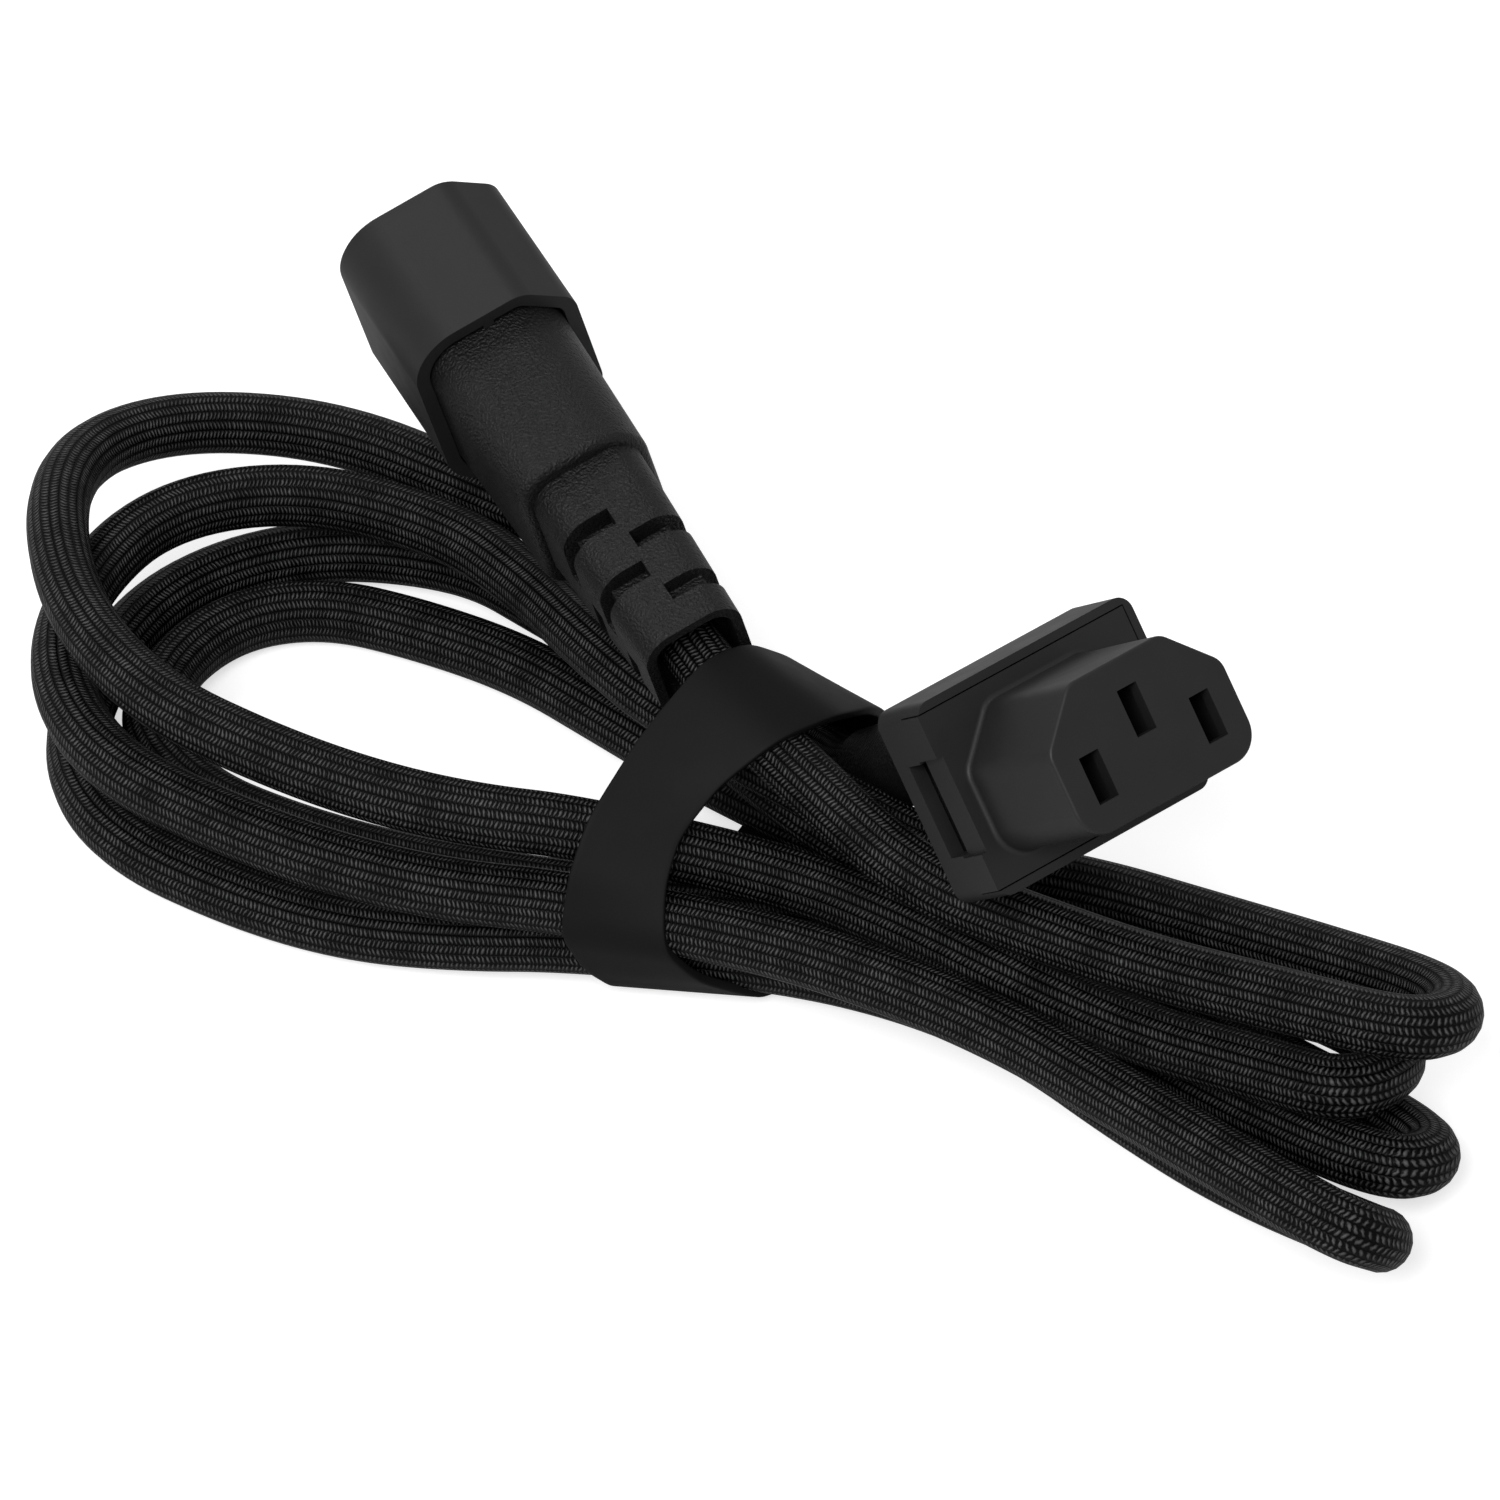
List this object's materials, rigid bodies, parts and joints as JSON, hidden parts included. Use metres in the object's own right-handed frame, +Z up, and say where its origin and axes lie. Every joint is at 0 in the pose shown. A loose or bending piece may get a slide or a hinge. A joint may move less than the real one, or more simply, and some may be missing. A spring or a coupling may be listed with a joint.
{
  "type": "power cord",
  "caption": "Mains extension cord with a braided jacket, a shrouded pin plug at one end and a flanged socket connector at the other, folded into a hank and held by a flat band.",
  "frame": {"origin": "on the surface it lies on, under the middle of the ground it covers", "axes": "+X along the hank towards its folded end, +Z up"},
  "size_m": [0.1686, 0.081, 0.0538],
  "materials": {
    "shell": "smooth moulded thermoplastic",
    "grip": "spark-textured overmoulding",
    "braid": "braided polyester over a round cord",
    "band": "satin",
    "contact": "nickel plated",
    "insulation": "wire insulation"
  },
  "bodies": {
    "root": {"plug_shroud": "shell", "plug_pin_carrier": "shell", "plug_line_pin": "contact", "plug_neutral_pin": "contact", "plug_earth_pin": "contact", "plug_grip": "grip", "plug_line_wire": "insulation", "plug_neutral_wire": "insulation", "plug_earth_wire": "insulation", "connector_face": "shell", "connector_housing": "shell", "socket_line_contact": "contact", "socket_neutral_contact": "contact", "socket_earth_contact": "contact", "connector_grip": "grip", "socket_line_wire": "insulation", "socket_neutral_wire": "insulation", "socket_earth_wire": "insulation", "braided_cord": "braid", "tie_band": "band"}
  },
  "joints": []
}
